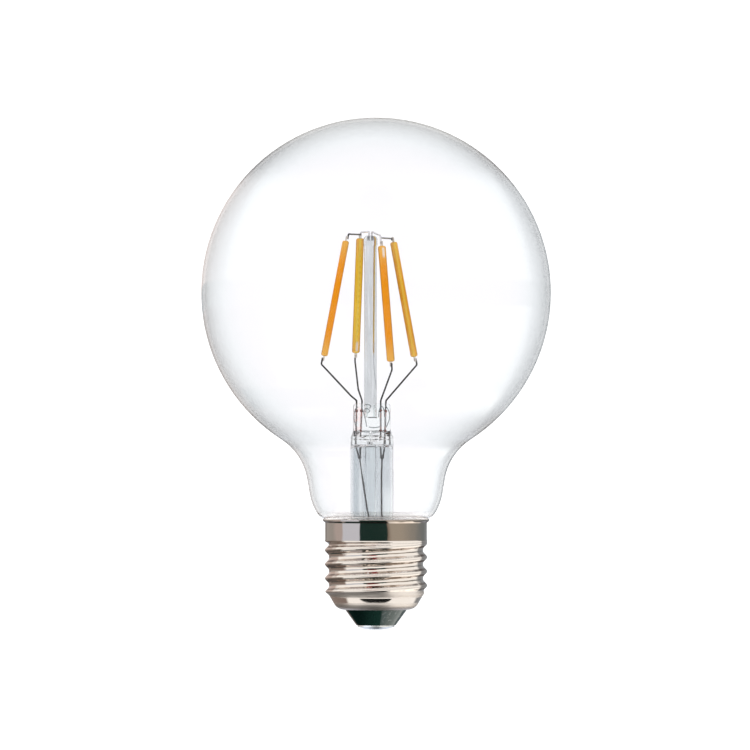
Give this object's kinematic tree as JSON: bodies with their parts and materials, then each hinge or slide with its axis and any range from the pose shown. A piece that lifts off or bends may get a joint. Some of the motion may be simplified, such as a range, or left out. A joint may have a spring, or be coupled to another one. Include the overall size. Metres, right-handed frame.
{
  "type": "globe bulb",
  "caption": "Clear round globe bulb with upright amber filament strips on a glass stem and a plated screw cap.",
  "frame": {"origin": "middle of the underside of the centre contact, on the bulb's axis", "axes": "+Z along the bulb's axis from the cap up to the globe's crown, -Y towards the side seen in the picture"},
  "size_m": [0.09, 0.09, 0.1318],
  "materials": {
    "clear_glass": "clear blown glass, polished by fire",
    "stem_glass": "clear drawn and pressed glass",
    "amber_coating": "soft amber silicone, slightly glossy",
    "plated_strip": "plated metal strip",
    "chip_crystal": "small glossy chips",
    "bright_wire": "drawn nickel-plated wire",
    "copper_wire": "copper-clad wire, seen red through the glass",
    "plated_cap": "bright nickel plate with a warm tone",
    "black_insulator": "glossy black insulating glass",
    "cement": "matte cured cement",
    "circuit_board": "plain printed board",
    "capacitor_can": "sleeved can",
    "black_moulding": "moulded package"
  },
  "bodies": {
    "root": {"glass_envelope": "clear_glass", "stem_flare": "stem_glass", "exhaust_tube": "stem_glass", "support_post": "stem_glass", "filament_coating_1": "amber_coating", "filament_coating_2": "amber_coating", "filament_coating_3": "amber_coating", "filament_coating_4": "amber_coating", "carrier_strip_1": "plated_strip", "carrier_strip_2": "plated_strip", "carrier_strip_3": "plated_strip", "carrier_strip_4": "plated_strip", "upper_clip_1": "plated_strip", "upper_clip_2": "plated_strip", "upper_clip_3": "plated_strip", "upper_clip_4": "plated_strip", "lower_clip_1": "plated_strip", "lower_clip_2": "plated_strip", "lower_clip_3": "plated_strip", "lower_clip_4": "plated_strip", "led_chips_1": "chip_crystal", "led_chips_2": "chip_crystal", "led_chips_3": "chip_crystal", "led_chips_4": "chip_crystal", "inner_lead_1": "bright_wire", "inner_lead_2": "bright_wire", "inner_lead_3": "bright_wire", "inner_lead_4": "bright_wire", "outer_leg_1": "bright_wire", "outer_leg_2": "bright_wire", "outer_leg_3": "bright_wire", "outer_leg_4": "bright_wire", "supply_lead_left": "bright_wire", "supply_lead_right": "bright_wire", "anchor_wire_left": "bright_wire", "anchor_wire_right": "bright_wire", "jumper_wire_left": "bright_wire", "jumper_wire_right": "bright_wire", "contact_wire": "bright_wire", "shell_wire": "bright_wire", "seal_wire_1": "copper_wire", "seal_wire_2": "copper_wire", "seal_wire_3": "copper_wire", "seal_wire_4": "copper_wire", "cap_shell": "plated_cap", "centre_contact": "plated_cap", "cap_insulator": "black_insulator", "cement_ring": "cement", "driver_board": "circuit_board", "capacitor": "capacitor_can", "fuse_resistor": "black_moulding", "rectifier": "black_moulding", "driver_chip": "black_moulding"}
  },
  "joints": []
}
